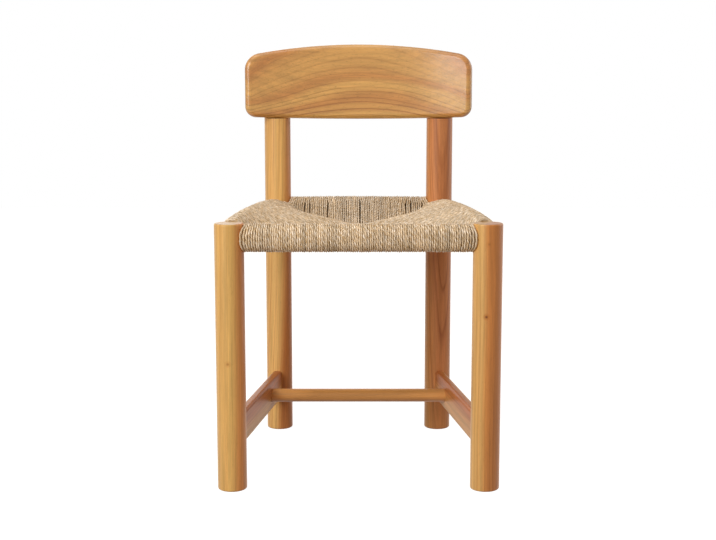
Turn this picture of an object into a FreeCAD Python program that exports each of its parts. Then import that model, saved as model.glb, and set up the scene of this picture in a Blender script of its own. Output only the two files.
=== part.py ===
import FreeCAD, Part
import math
import os
import Sketcher
from FreeCAD import Placement, Rotation, Vector

# A side chair with four round legs, a curved plank for a backrest and a seat of woven rush.
# The front faces -Y, +Z is up, and the origin is on the floor in the middle of the four legs.

# name, millimetres, what it sets
SIZES = (
    ("leg_diameter", 50, "all four legs"),
    ("front_leg_height", 459, "floor to the top of a front leg"),
    ("rear_leg_height", 735, "floor to the top of a rear post"),
    ("front_spacing", 433, "between the centres of the front legs"),
    ("rear_spacing", 313, "between the centres of the rear posts"),
    ("depth_spacing", 395, "between the front and the rear leg centres"),
    ("foot_round", 3, "round-over at the foot of a leg"),
    ("top_round", 2.5, "round-over at the top of a leg"),
    ("glue_gap", 0.1, "clearance round a tenon and along a glued face"),

    ("rail_height", 40, "seat rail, top to bottom"),
    ("rail_depth", 26, "seat rail, front to back"),
    ("rail_round", 12, "rounded long edges of a seat rail"),
    ("rail_drop", 25, "middle of the front and rear seat rails below the front legs' tops"),
    ("side_rail_front_drop", 21.5, "middle of a side rail at its front leg below that leg's top"),
    ("side_rail_rear_drop", 27, "middle of a side rail at its rear leg below the front legs' tops"),
    ("side_rail_crown", 6.5, "rise of a side rail above its straight line"),
    ("tenon_thick", 12, "seat rail tenon, across"),
    ("tenon_height", 26, "seat rail tenon, top to bottom"),
    ("mortise_web", 2, "wood left between two mortises that meet in a leg"),

    ("stretcher_height", 56, "side stretcher, top to bottom"),
    ("stretcher_thick", 17, "side stretcher, across"),
    ("stretcher_round", 5.5, "rounded long edges of a side stretcher"),
    ("stretcher_z", 91, "middle of the stretchers above the floor"),
    ("stretcher_tenon_thick", 10, "side stretcher tenon, across"),
    ("stretcher_tenon_height", 38, "side stretcher tenon, top to bottom"),
    ("stretcher_tenon_length", 18, "side stretcher tenon, into the leg"),
    ("cross_diameter", 25, "round cross stretcher"),
    ("cross_setback", 107, "cross stretcher in front of the rear leg centres"),
    ("cross_tenon_diameter", 15, "tenon of the cross stretcher"),
    ("cross_tenon_length", 12, "cross stretcher tenon, into the side stretcher"),

    ("back_width", 431, "backrest, end to end"),
    ("back_height", 142, "backrest, top to bottom in the middle"),
    ("back_rise", 19, "top of the backrest above the tops of the posts"),
    ("back_top_arch", 21.5, "drop of the top edge from the middle to the ends"),
    ("back_bottom_bow", 5.5, "rise of the bottom edge from the middle to the ends"),
    ("back_thick", 22, "backrest plank"),
    ("back_radius", 600, "hollow of the backrest's front in plan"),
    ("back_top_corner", 32, "rounded upper corners"),
    ("back_bottom_corner", 21, "rounded lower corners"),
    ("back_round", 9, "rounded edges of the backrest"),
    ("back_set_in", 18, "depth of the seat for the backrest in each post"),

    ("screw_diameter", 4.5, "shank of a backrest screw"),
    ("screw_length", 35, "shank from under the head to the end"),
    ("screw_head_diameter", 8.5, "head of a backrest screw"),
    ("screw_head_height", 3, "head of a backrest screw"),
    ("screw_rise", 40, "lower screw above the bottom of the backrest"),
    ("screw_pitch", 48, "between the two screws of a post"),
    ("plug_diameter", 10, "wooden plug over a screw head"),
    ("plug_length", 8, "wooden plug, at its middle"),

    ("cord_diameter", 4.2, "twisted rush cord"),
    ("seat_dip", 33, "top of the weave in the middle of the seat below the front legs' tops"),
    ("seat_corner_drop", 7, "top of the weave where a seam meets its leg below the front legs' tops"),
    ("seat_under_drop", 48, "underside of the weave along the seams below the front legs' tops"),
    ("seat_dish_run", 25, "length over which a seam drops from its leg"),
    ("seat_ridge", 20, "middle stretch where the left and right panels meet"),
    ("layer_thick", 5, "one woven layer over the packing"),
    ("pad_margin", 8, "packing pad kept back from the seam"),
    ("weave_gap", 0.2, "clearance between the weave and a leg"),
)

doc = FreeCAD.newDocument("rush_seat_chair")
sheet = doc.addObject("Spreadsheet::Sheet", "Size")
for row, (alias, number, note) in enumerate(SIZES, start=1):
    sheet.set(f"A{row}", note)
    sheet.set(f"B{row}", str(number))
    sheet.setAlias(f"B{row}", alias)
doc.recompute()

# places and lengths that follow from the sizes
LEG_RADIUS = "Size.leg_diameter / 2"
LEG_Y = "Size.depth_spacing / 2"
FRONT_X = "Size.front_spacing / 2"
REAR_X = "Size.rear_spacing / 2"
SIDE_STEP = f"({FRONT_X} - {REAR_X})"
SIDE_LENGTH = f"sqrt(Size.depth_spacing ^ 2 + {SIDE_STEP} ^ 2)"
SIDE_ANGLE = f"atan({SIDE_STEP} / Size.depth_spacing)"
RAIL_Z = "(Size.front_leg_height - Size.rail_drop)"
SIDE_RAIL_FRONT_Z = "(Size.front_leg_height - Size.side_rail_front_drop)"
SIDE_RAIL_REAR_Z = "(Size.front_leg_height - Size.side_rail_rear_drop)"
SEAT_LOW_Z = "(Size.front_leg_height - Size.seat_dip)"
SEAT_CORNER_Z = "(Size.front_leg_height - Size.seat_corner_drop)"
SEAT_UNDER_Z = "(Size.front_leg_height - Size.seat_under_drop)"
RAIL_TENON = f"({LEG_RADIUS} - Size.tenon_thick / 2 - Size.mortise_web)"

BACK_OUTER = "(Size.back_radius + Size.back_thick)"
BACK_FOCUS = (f"(sqrt({BACK_OUTER} ^ 2 - ({REAR_X}) ^ 2)"
              f" - {LEG_Y} + {LEG_RADIUS} - Size.back_set_in)")
TOP_RADIUS = "((Size.back_width ^ 2 / 4 + Size.back_top_arch ^ 2) / (2 * Size.back_top_arch))"
BOTTOM_RADIUS = "((Size.back_width ^ 2 / 4 + Size.back_bottom_bow ^ 2) / (2 * Size.back_bottom_bow))"
BACK_TOP_Z = "(Size.rear_leg_height + Size.back_rise)"
BACK_BOTTOM_Z = f"({BACK_TOP_Z} - Size.back_height)"
NOTCH_Z = (f"({BACK_BOTTOM_Z} + {BOTTOM_RADIUS}"
           f" - sqrt({BOTTOM_RADIUS} ^ 2 - ({REAR_X} - {LEG_RADIUS}) ^ 2) - Size.glue_gap)")
PLUG_BORE = "(Size.plug_length + Size.screw_head_height)"
SCREW_SEAT_Y = f"({LEG_Y} + {LEG_RADIUS} - {PLUG_BORE})"
SCREW_TIP_Y = f"({SCREW_SEAT_Y} - Size.screw_length)"
SCREW_LOW_Z = f"({BACK_BOTTOM_Z} + Size.screw_rise)"
SCREW_HEIGHTS = (SCREW_LOW_Z, f"{SCREW_LOW_Z} + Size.screw_pitch")

CROSS_Y = f"({LEG_Y} - Size.cross_setback)"
FACE_OFFSET = f"((Size.stretcher_thick / 2 + Size.glue_gap) / cos({SIDE_ANGLE}))"
CROSS_X = f"({REAR_X} + {SIDE_STEP} * Size.cross_setback / Size.depth_spacing - {FACE_OFFSET})"

SIDES = (("left", -1), ("right", 1))


def value(expression):
    found = sheet.evalExpression(expression)
    return float(getattr(found, "Value", found))


def bind(thing, **expressions):
    for name, expression in expressions.items():
        thing.setExpression(name.replace("__", "."), expression)


def place(thing, x="0", y="0", z="0"):
    bind(thing, Placement__Base__x=x, Placement__Base__y=y, Placement__Base__z=z)


# sketches

def new_body(label):
    body = doc.addObject("PartDesign::Body", label)
    body.Label = label
    return body


def new_sketch(body, role, x="0", y="0", z="0", turn=None):
    # x, y and z shift the sketch in its own plane's directions, turn swings it about its upright axis
    sketch = body.newObject("Sketcher::SketchObject", "sketch")
    planes = {feature.Role: feature for feature in body.Origin.OriginFeatures}
    sketch.AttachmentSupport = [(planes[role], "")]
    sketch.MapMode = "FlatFace"
    bind(sketch, AttachmentOffset__Base__x=x, AttachmentOffset__Base__y=y, AttachmentOffset__Base__z=z)
    if turn is not None:
        sketch.AttachmentOffset = Placement(Vector(), Rotation(Vector(0, 1, 0), value(turn)))
        bind(sketch, AttachmentOffset__Rotation__Angle=turn)
    return sketch


def constrain(sketch, expression, kind, *where):
    index = sketch.addConstraint(Sketcher.Constraint(kind, *where, value(expression)))
    sketch.setExpression(f"Constraints[{index}]", expression)


def fix(sketch, kind, *where):
    sketch.addConstraint(Sketcher.Constraint(kind, *where))


def join_ends(sketch, kind, count):
    for k in range(count):
        fix(sketch, kind, k, 2, (k + 1) % count, 1)


def draw_round_rectangle(sketch, wide, tall, radius):
    # four straight sides joined by four quarter circles
    bend = value(radius)
    x, y = value(wide) / 2 - bend, value(tall) / 2 - bend
    for k, (side_x, side_y) in enumerate(((1, -1), (1, 1), (-1, 1), (-1, -1))):
        hub = Vector(side_x * x, side_y * y)
        start = (k - 1) * math.pi / 2
        arc = Part.ArcOfCircle(Part.Circle(hub, Vector(0, 0, 1), bend), start, start + math.pi / 2)
        next_hub = Vector(-side_y * x, side_x * y)
        outward = Vector(math.cos(start + math.pi / 2), math.sin(start + math.pi / 2)) * bend
        sketch.addGeometry(arc)
        sketch.addGeometry(Part.LineSegment(hub + outward, next_hub + outward))
    join_ends(sketch, "Tangent", 8)
    for k, kind in ((1, "Vertical"), (3, "Horizontal"), (5, "Vertical"), (7, "Horizontal")):
        fix(sketch, kind, k)
    for k in (2, 4, 6):
        fix(sketch, "Equal", 0, k)
    fix(sketch, "Symmetric", 0, 3, 4, 3, -1, 1)
    constrain(sketch, radius, "Radius", 0)
    constrain(sketch, f"{wide} - 2 * {radius}", "DistanceX", 6, 3, 0, 3)
    constrain(sketch, f"{tall} - 2 * {radius}", "DistanceY", 0, 3, 2, 3)


def draw_slot(sketch, wide, tall):
    # an upright slot with half-round ends, the section of a machined tenon
    radius, rise = value(wide) / 2, (value(tall) - value(wide)) / 2
    up = Vector(0, 0, 1)
    sketch.addGeometry(Part.LineSegment(Vector(radius, -rise), Vector(radius, rise)))
    sketch.addGeometry(Part.ArcOfCircle(Part.Circle(Vector(0, rise), up, radius), 0, math.pi))
    sketch.addGeometry(Part.LineSegment(Vector(-radius, rise), Vector(-radius, -rise)))
    sketch.addGeometry(Part.ArcOfCircle(Part.Circle(Vector(0, -rise), up, radius), math.pi, 2 * math.pi))
    join_ends(sketch, "Tangent", 4)
    fix(sketch, "Vertical", 0)
    fix(sketch, "PointOnObject", 1, 3, -2)
    fix(sketch, "Symmetric", 1, 3, 3, 3, -1, 1)
    constrain(sketch, f"({wide}) / 2", "Radius", 1)
    constrain(sketch, f"{tall} - ({wide})", "DistanceY", 3, 3, 1, 3)


def draw_circle(sketch, radius, x="0", y="0"):
    # x and y are the circle's centre, measured from the sketch's origin
    index = sketch.addGeometry(Part.Circle(Vector(value(x), value(y)), Vector(0, 0, 1), value(radius)))
    constrain(sketch, radius, "Radius", index)
    constrain(sketch, x, "DistanceX", -1, 1, index, 3)
    constrain(sketch, y, "DistanceY", -1, 1, index, 3)


def draw_back_outline(sketch):
    # upright ends between an arched top edge and a bowed bottom edge
    x = value("Size.back_width") / 2
    top, bottom = value(BACK_TOP_Z), value(BACK_BOTTOM_Z)
    top_end, bottom_end = top - value("Size.back_top_arch"), bottom + value("Size.back_bottom_bow")
    sketch.addGeometry(Part.Arc(Vector(x, top_end), Vector(0, top), Vector(-x, top_end)))
    sketch.addGeometry(Part.LineSegment(Vector(-x, top_end), Vector(-x, bottom_end)))
    sketch.addGeometry(Part.Arc(Vector(-x, bottom_end), Vector(0, bottom), Vector(x, bottom_end)))
    sketch.addGeometry(Part.LineSegment(Vector(x, bottom_end), Vector(x, top_end)))
    join_ends(sketch, "Coincident", 4)
    fix(sketch, "Vertical", 1)
    fix(sketch, "Vertical", 3)
    fix(sketch, "Symmetric", 1, 2, 3, 1, -2)
    fix(sketch, "Horizontal", 0, 1, 0, 2)
    constrain(sketch, "Size.back_width", "DistanceX", 1, 2, 3, 1)
    constrain(sketch, TOP_RADIUS, "Radius", 0)
    constrain(sketch, BOTTOM_RADIUS, "Radius", 2)
    constrain(sketch, f"{TOP_RADIUS} - {BACK_TOP_Z}", "DistanceY", 0, 3, -1, 1)
    constrain(sketch, f"{BACK_BOTTOM_Z} + {BOTTOM_RADIUS}", "DistanceY", -1, 1, 2, 3)


# features

def pad(body, sketch, length, side="One side", reverse=False):
    feature = body.newObject("PartDesign::Pad", "pad")
    feature.Profile = sketch
    feature.SideType = side
    feature.Reversed = reverse
    bind(feature, Length=length)
    doc.recompute()
    return feature


def pocket(body, sketch, side="One side", reverse=False):
    before = body.Shape.Volume
    feature = body.newObject("PartDesign::Pocket", "pocket")
    feature.Profile = sketch
    feature.Type = "ThroughAll"
    feature.SideType = side
    feature.Reversed = reverse
    doc.recompute()
    if not body.Shape.Volume < before:
        raise RuntimeError(f"a pocket in {body.Label} cuts nothing")
    return feature


def round_edges(body, radius, wanted):
    names = [f"Edge{k}" for k, edge in enumerate(body.Shape.Edges, start=1) if wanted(edge)]
    base = body.Tip
    feature = body.newObject("PartDesign::Fillet", "round")
    feature.Base = (base, names)
    bind(feature, Radius=radius)
    doc.recompute()
    return feature


def all_at(edge, test):
    return all(test(edge.valueAt(u)) for u in (edge.FirstParameter,
                                               (edge.FirstParameter + edge.LastParameter) / 2,
                                               edge.LastParameter))


# legs

def cut_mortise(body, turn, height, wide, tall, reach):
    # a slot sunk into the round leg from the direction that its rail comes from
    floor = f"({LEG_RADIUS} - {reach} - Size.glue_gap)"
    sketch = new_sketch(body, "YZ_Plane", x=f"{floor} * sin({turn})", y=height,
                        z=f"{floor} * cos({turn})", turn=turn)
    draw_slot(sketch, f"({wide} + 2 * Size.glue_gap)", f"({tall} + 2 * Size.glue_gap)")
    pocket(body, sketch, reverse=True)


def make_leg(label, side, spacing, leg_y, height, rail_turn, side_rail_z):
    body = new_body(label)
    sketch = new_sketch(body, "XY_Plane")
    draw_circle(sketch, LEG_RADIUS)
    pad(body, sketch, height)
    round_edges(body, "Size.foot_round", lambda edge: all_at(edge, lambda p: abs(p.z) < 1e-6))
    top = value(height)
    round_edges(body, "Size.top_round", lambda edge: all_at(edge, lambda p: abs(p.z - top) < 1e-6))

    inward = "0 deg" if side < 0 else "180 deg"
    along = f"{rail_turn} deg + {side} * {SIDE_ANGLE}"
    rail = ("Size.tenon_thick", "Size.tenon_height", RAIL_TENON)
    cut_mortise(body, inward, RAIL_Z, *rail)
    cut_mortise(body, along, side_rail_z, *rail)
    cut_mortise(body, along, "Size.stretcher_z", "Size.stretcher_tenon_thick",
                "Size.stretcher_tenon_height", "Size.stretcher_tenon_length")
    place(body, x=f"{side} * {spacing} / 2", y=leg_y)
    return body


def seat_backrest(body, side):
    # a hollow step in the front of the post, and the bores for two screws and their plugs
    step = new_sketch(body, "XY_Plane", z=NOTCH_Z)
    draw_circle(step, f"{BACK_OUTER} + Size.glue_gap", x=f"{-side} * {REAR_X}",
                y=f"-{BACK_FOCUS} - {LEG_Y}")
    pocket(body, step, reverse=True)
    shanks = new_sketch(body, "XZ_Plane")
    bores = new_sketch(body, "XZ_Plane", z=f"{PLUG_BORE} - {LEG_RADIUS}")
    for height in SCREW_HEIGHTS:
        draw_circle(shanks, "Size.screw_diameter / 2 + Size.glue_gap", y=height)
        draw_circle(bores, "Size.plug_diameter / 2 + Size.glue_gap", y=height)
    pocket(body, shanks, side="Symmetric")
    pocket(body, bores)


# seat rails and side stretchers

def make_bar(label, long, tall, thick, rounding, heights, tenon, crown=None):
    # the bar lies along its own X axis, its ends are coped to the round legs and carry tenons
    tenon_thick, tenon_height, reach = tenon
    body = new_body(label)
    middle = f"({heights[0]} + {heights[1]}) / 2 + {crown or 0}"
    sections = []
    for x, height in ((f"-{long} / 2", heights[0]), ("0", middle), (f"{long} / 2", heights[1])):
        sections.append(new_sketch(body, "YZ_Plane", y=height, z=x))
        draw_round_rectangle(sections[-1], thick, tall, rounding)
    blank = body.newObject("PartDesign::AdditiveLoft", "blank")
    blank.Profile = sections[0]
    blank.Sections = sections[1:]
    blank.Ruled = crown is None
    doc.recompute()

    cope = new_sketch(body, "XY_Plane")
    for end in (-1, 1):
        draw_circle(cope, f"{LEG_RADIUS} + Size.glue_gap", x=f"{end} * {long} / 2")
    pocket(body, cope, side="Symmetric")

    for end, height in zip((-1, 1), heights):
        tip = f"{end} * ({long} / 2 - {LEG_RADIUS} + {reach})"
        sketch = new_sketch(body, "YZ_Plane", y=height, z=tip)
        draw_slot(sketch, tenon_thick, tenon_height)
        pad(body, sketch, f"{reach} + {LEG_RADIUS}", reverse=end > 0)
    return body


def lay_along_side(body, side):
    # turns a bar so that it runs from a front leg to the rear leg behind it
    place(body, x=f"{side} * ({FRONT_X} + {REAR_X}) / 2")
    turn = f"90 deg + {side} * {SIDE_ANGLE}"
    body.Placement.Rotation = Rotation(Vector(0, 0, 1), value(turn))
    bind(body, Placement__Rotation__Angle=turn)


def make_cylinder(name, radius, height, axis, x="0", y="0", z="0"):
    cylinder = doc.addObject("Part::Cylinder", name)
    bind(cylinder, Radius=radius, Height=height)
    cylinder.Placement.Rotation = Rotation(Vector(0, 0, 1), axis)
    place(cylinder, x, y, z)
    return cylinder


def combine(kind, name, base, tool):
    result = doc.addObject(kind, name)
    result.Base = base
    result.Tool = tool
    return result


def group(label, things):
    compound = doc.addObject("Part::Compound", label)
    compound.Label = label
    compound.Links = things
    return compound


def make_across(name, radius, half_length):
    # a round bar across the chair at the height and depth of the cross stretcher
    return make_cylinder(name, radius, f"2 * ({half_length})", Vector(1, 0, 0),
                         x=f"-({half_length})", y=CROSS_Y, z="Size.stretcher_z")


def make_cross_stretcher():
    # the shoulders follow the slanting inner faces of the side stretchers
    between = doc.addObject("Part::Wedge", "between_stretchers")
    front, rear = f"({FRONT_X} - {FACE_OFFSET})", f"({REAR_X} - {FACE_OFFSET})"
    bind(between, Xmin=f"-{front}", Xmax=front, X2min=f"-{rear}", X2max=rear,
         Ymin=f"-{LEG_Y}", Ymax=LEG_Y, Zmin="0", Zmax="Size.front_leg_height",
         Z2min="0", Z2max="Size.front_leg_height")
    round_bar = make_across("cross_round", "Size.cross_diameter / 2", FRONT_X)
    shoulders = combine("Part::Common", "cross_shoulders", round_bar, between)
    tenon = make_across("cross_tenon", "Size.cross_tenon_diameter / 2",
                        f"{CROSS_X} + Size.cross_tenon_length")
    return combine("Part::Fuse", "cross_stretcher", shoulders, tenon)


# backrest

def make_backrest():
    body = new_body("backrest")
    outline = new_sketch(body, "XZ_Plane", z=f"-{LEG_Y}")
    draw_back_outline(outline)
    pad(body, outline, "Size.back_width", side="Symmetric")
    middle = (value(BACK_TOP_Z) + value(BACK_BOTTOM_Z)) / 2
    depth = value("Size.back_width")

    def is_corner(edge, side):
        ends = [vertex.Point for vertex in edge.Vertexes]
        runs_back = len(ends) == 2 and abs(abs(ends[0].y - ends[1].y) - depth) < 1e-6
        return runs_back and side * (edge.CenterOfMass.z - middle) > 0

    round_edges(body, "Size.back_top_corner", lambda edge: is_corner(edge, 1))
    round_edges(body, "Size.back_bottom_corner", lambda edge: is_corner(edge, -1))

    hollow = new_sketch(body, "XY_Plane")
    draw_circle(hollow, "Size.back_radius", y=f"-{BACK_FOCUS}")
    pocket(body, hollow, side="Symmetric")
    outside = new_sketch(body, "XY_Plane")
    draw_circle(outside, BACK_OUTER, y=f"-{BACK_FOCUS}")
    draw_circle(outside, f"{BACK_OUTER} + Size.back_width", y=f"-{BACK_FOCUS}")
    pocket(body, outside, side="Symmetric")

    focus = value(BACK_FOCUS)
    inner, outer = value("Size.back_radius"), value(BACK_OUTER)

    def on_a_face(point):
        distance = math.hypot(point.x, point.y + focus)
        return min(abs(distance - inner), abs(distance - outer)) < 1e-4

    round_edges(body, "Size.back_round", lambda edge: all_at(edge, on_a_face))

    pilots = new_sketch(body, "XZ_Plane", z=f"-{SCREW_TIP_Y}")
    for label, side in SIDES:
        for height in SCREW_HEIGHTS:
            draw_circle(pilots, "Size.screw_diameter / 2 + Size.glue_gap", x=f"{side} * {REAR_X}", y=height)
    pocket(body, pilots)
    return body


def make_screws():
    screws = []
    for label, side in SIDES:
        for height in SCREW_HEIGHTS:
            where = dict(x=f"{side} * {REAR_X}", z=height)
            shank = make_cylinder("shank", "Size.screw_diameter / 2",
                                  "Size.screw_length", Vector(0, 1, 0), y=SCREW_TIP_Y, **where)
            head = make_cylinder("head", "Size.screw_head_diameter / 2",
                                 "Size.screw_head_height", Vector(0, 1, 0), y=SCREW_SEAT_Y, **where)
            screws.append(combine("Part::Fuse", "screw", shank, head))
    return group("backrest_screws", screws)


def make_plugs():
    # each plug is trimmed flush with the round back of its post
    plugs = []
    for label, side in SIDES:
        post = make_cylinder("post_round", LEG_RADIUS, "Size.rear_leg_height", Vector(0, 0, 1),
                             x=f"{side} * {REAR_X}", y=LEG_Y)
        for height in SCREW_HEIGHTS:
            blank = make_cylinder("plug_blank", "Size.plug_diameter / 2", PLUG_BORE, Vector(0, 1, 0),
                                  x=f"{side} * {REAR_X}", z=height,
                                  y=f"{SCREW_SEAT_Y} + Size.screw_head_height")
            plugs.append(combine("Part::Common", "plug", blank, post))
    return group("backrest_plugs", plugs)


# woven seat

SEAM_SLOPE = value(f"(Size.depth_spacing - Size.seat_ridge) / ({FRONT_X} + {REAR_X})")
SIDE_SLOPE = value(f"{SIDE_STEP} / Size.depth_spacing")
SEAM_STATIONS = (0.15, 0.8, 2, 3.2)      # in lengths of seat_dish_run from the leg


def seam_top(across):
    # height of the seam at a distance across the chair from the leg's centre
    low, corner = value(SEAT_LOW_Z), value(SEAT_CORNER_Z)
    return low + (corner - low) * math.exp((value(LEG_RADIUS) - across) / value("Size.seat_dish_run"))


def roll_outline(middle_z, seam_u, top_z, low_z):
    # the strands' path round a rail, as (u, z), u running from the rail's middle towards the seat's middle
    cord = value("Size.cord_diameter")
    half, tall = value("Size.rail_depth") / 2 + cord, value("Size.rail_height") / 2 + cord
    bend = value("Size.rail_round") + cord
    hub_u, hub_z = half - bend, tall - bend
    # a strand leaves the roll where the straight line to its seam touches the bend
    across, up = seam_u - hub_u, top_z - middle_z - hub_z
    leave = math.atan2(up, across) + math.acos(min(1, bend / math.hypot(across, up)))

    def bend_point(side_u, side_z, angle):
        return (side_u * hub_u + bend * math.cos(angle),
                middle_z + side_z * hub_z + bend * math.sin(angle))

    quarter = math.pi / 2
    return dict(
        seam_top=(seam_u, top_z),
        inner_bend=[bend_point(1, 1, angle) for angle in (leave, (leave + quarter) / 2, quarter)],
        upper_bend=[bend_point(-1, 1, angle * quarter) for angle in (1, 1.5, 2)],
        lower_bend=[bend_point(-1, -1, angle * quarter) for angle in (2, 2.5, 3)],
        under=(hub_u, middle_z - tall),
        seam_low=(seam_u, low_z),
    )


def roll_wire(outline, to_space):
    points = {name: [to_space(*spot) for spot in spots] if isinstance(spots, list) else to_space(*spots)
              for name, spots in outline.items()}
    inner, upper, lower = points["inner_bend"], points["upper_bend"], points["lower_bend"]
    edges = [Part.LineSegment(points["seam_top"], inner[0]), Part.Arc(*inner),
             Part.LineSegment(inner[2], upper[0]), Part.Arc(*upper),
             Part.LineSegment(upper[2], lower[0]), Part.Arc(*lower),
             Part.LineSegment(lower[2], points["under"]),
             Part.LineSegment(points["under"], points["seam_low"]),
             Part.LineSegment(points["seam_low"], points["seam_top"])]
    return Part.Wire([edge.toShape() for edge in edges])


def pad_wire(outline, to_space):
    # the packing fills the pocket between the rail and the seam, one woven layer inside the outline
    layer = value("Size.layer_thick")
    start_u = value("Size.rail_depth") / 2
    end_u = outline["seam_top"][0] - value("Size.pad_margin")

    def height(first, last, u):
        share = (u - first[0]) / (last[0] - first[0])
        return first[1] + share * (last[1] - first[1])

    upper = outline["inner_bend"][0], outline["seam_top"]
    lower = outline["under"], outline["seam_low"]
    corners = [(start_u, height(*upper, start_u) - layer), (end_u, height(*upper, end_u) - layer),
               (end_u, height(*lower, end_u) + layer), (start_u, height(*lower, start_u) + layer)]
    spots = [to_space(*corner) for corner in corners]
    return Part.makePolygon(spots + spots[:1])


def plain_roll(middle_z):
    # at a leg the weave is only a roll round the rail, so its seam lies on the roll's inner side
    cord = value("Size.cord_diameter")
    half = value("Size.rail_depth") / 2 + cord
    flat = value("Size.rail_height") / 2 - value("Size.rail_round")
    return roll_outline(middle_z, half, middle_z + flat - cord / 2, middle_z - flat)


def corner_stations(leg_x, drift):
    # distances across from a leg's centre, and how far the seam then is from the rail's middle
    run, radius = value("Size.seat_dish_run"), value(LEG_RADIUS)
    clear = value("Size.rail_depth / 2 + Size.cord_diameter + Size.weave_gap")
    stations = [clear / drift] + [radius + run * share for share in SEAM_STATIONS] + [leg_x]
    return [(across, across * drift, k > 0, k > 1) for k, across in enumerate(stations)]


def cross_panel(leg_x, y_sign):
    # front or rear panel: strands run front to back over a rail that lies across the chair
    rows = []
    half_row = corner_stations(leg_x, SEAM_SLOPE)
    for side, row in ((-1, half_row), (1, half_row[-2::-1])):
        for across, seam_u, woven, packed in row:
            x = side * (leg_x - across)
            middle_z = value(RAIL_Z)
            outline = (roll_outline(middle_z, seam_u, seam_top(across), value(SEAT_UNDER_Z))
                       if woven else plain_roll(middle_z))
            rows.append((outline, lambda u, z, x=x: Vector(x, y_sign * (value(LEG_Y) - u), z), packed))
    return rows


def side_rail_middle(y):
    # height of an arched side rail's middle line
    share = 0.5 + y / value("Size.depth_spacing")
    front, rear = value(SIDE_RAIL_FRONT_Z), value(SIDE_RAIL_REAR_Z)
    return front + share * (rear - front) + 4 * share * (1 - share) * value("Size.side_rail_crown")


def side_panel():
    # left panel: strands run across the chair over the slanting side rail, which they cross at an angle
    rows = []
    stretch = 1 / math.cos(math.atan(SIDE_SLOPE))
    for leg_x, end in ((value(FRONT_X), -1), (value(REAR_X), 1)):
        drift = (1 + end * SIDE_SLOPE * SEAM_SLOPE) / stretch
        row = []
        for across, seam_u, woven, packed in corner_stations(leg_x, drift):
            y = end * (value(LEG_Y) - SEAM_SLOPE * across)
            middle_z = side_rail_middle(y)
            rail_x = -leg_x + across - seam_u * stretch
            outline = (roll_outline(middle_z, seam_u, seam_top(across), value(SEAT_UNDER_Z))
                       if woven else plain_roll(middle_z))
            row.append((outline, lambda u, z, x=rail_x, y=y: Vector(x + u * stretch, y, z), packed))
        rows += row if end < 0 else row[::-1]
    return rows


def loft(wires):
    solid = Part.makeLoft(wires, True, True)
    if solid.Volume < 0:
        solid.reverse()
    return solid


def make_weave(name, rows, rail):
    # one solid for the weave, hollow for its rail and its packing, and one for the packing
    weave = loft([roll_wire(outline, to_space) for outline, to_space, packed in rows])
    packing = loft([pad_wire(outline, to_space) for outline, to_space, packed in rows if packed])
    radius = value(LEG_RADIUS) + value("Size.weave_gap")
    legs = [Part.makeCylinder(radius, value("Size.rear_leg_height"),
                              Vector(side * value(leg_x), end * value(LEG_Y), 0))
            for leg_x, end in ((FRONT_X, -1), (REAR_X, 1)) for label, side in SIDES]
    weave = weave.cut(legs + [rail.Shape, packing])
    return {f"{name}_rush": weave, f"{name}_packing": packing}


def add_shape(label, shape):
    thing = doc.addObject("Part::Feature", label)
    thing.Label = label
    thing.Shape = shape.Solids[0] if len(shape.Solids) == 1 else shape
    thing.Placement = Placement()
    return thing


def make_chair():
    pieces = []
    seat_tenon = ("Size.tenon_thick", "Size.tenon_height", RAIL_TENON)
    low_tenon = ("Size.stretcher_tenon_thick", "Size.stretcher_tenon_height", "Size.stretcher_tenon_length")
    rail = ("Size.rail_height", "Size.rail_depth", "Size.rail_round")
    stretcher = ("Size.stretcher_height", "Size.stretcher_thick", "Size.stretcher_round")

    for label, side in SIDES:
        pieces.append(make_leg(f"front_leg_{label}", side, "Size.front_spacing", f"-{LEG_Y}",
                               "Size.front_leg_height", 90, SIDE_RAIL_FRONT_Z))
        post = make_leg(f"rear_leg_{label}", side, "Size.rear_spacing", LEG_Y,
                        "Size.rear_leg_height", 270, SIDE_RAIL_REAR_Z)
        seat_backrest(post, side)
        pieces.append(post)

    rails = {}
    for name, end in (("front", -1), ("rear", 1)):
        rails[name] = make_bar(f"{name}_seat_rail", f"Size.{name}_spacing", *rail,
                               (RAIL_Z, RAIL_Z), seat_tenon)
        place(rails[name], y=f"{end} * {LEG_Y}")

    tenon_hole = make_across("cross_tenon_hole", "Size.cross_tenon_diameter / 2 + Size.glue_gap",
                             f"{CROSS_X} + Size.cross_tenon_length + Size.glue_gap")
    for label, side in SIDES:
        rails[label] = make_bar(f"{label}_seat_rail", SIDE_LENGTH, *rail,
                                (SIDE_RAIL_FRONT_Z, SIDE_RAIL_REAR_Z), seat_tenon,
                                crown="Size.side_rail_crown")
        lay_along_side(rails[label], side)
        board = make_bar(f"{label}_stretcher_board", SIDE_LENGTH, *stretcher,
                         ("Size.stretcher_z", "Size.stretcher_z"), low_tenon)
        lay_along_side(board, side)
        bored = combine("Part::Cut", f"{label}_side_stretcher", board, tenon_hole)
        pieces.append(bored)

    pieces += list(rails.values())
    pieces += [make_cross_stretcher(), make_backrest(), make_screws(), make_plugs()]
    doc.recompute()

    weaves = make_weave("front", cross_panel(value(FRONT_X), -1), rails["front"])
    weaves.update(make_weave("rear", cross_panel(value(REAR_X), 1), rails["rear"]))
    weaves.update(make_weave("left", side_panel(), rails["left"]))
    for kind in ("rush", "packing"):
        weaves[f"right_{kind}"] = weaves[f"left_{kind}"].mirror(Vector(), Vector(1, 0, 0))
    pieces += [add_shape(label, shape) for label, shape in weaves.items()]
    doc.recompute()
    return pieces


def check(pieces):
    for thing in doc.Objects:
        if "Invalid" in thing.State or "Error" in thing.State:
            raise RuntimeError(f"{thing.Label} failed: {thing.State}")
    for piece in pieces:
        if piece.Shape.isNull() or not piece.Shape.isValid() or not piece.Shape.Solids:
            raise RuntimeError(f"{piece.Label} has no valid solid")


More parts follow.
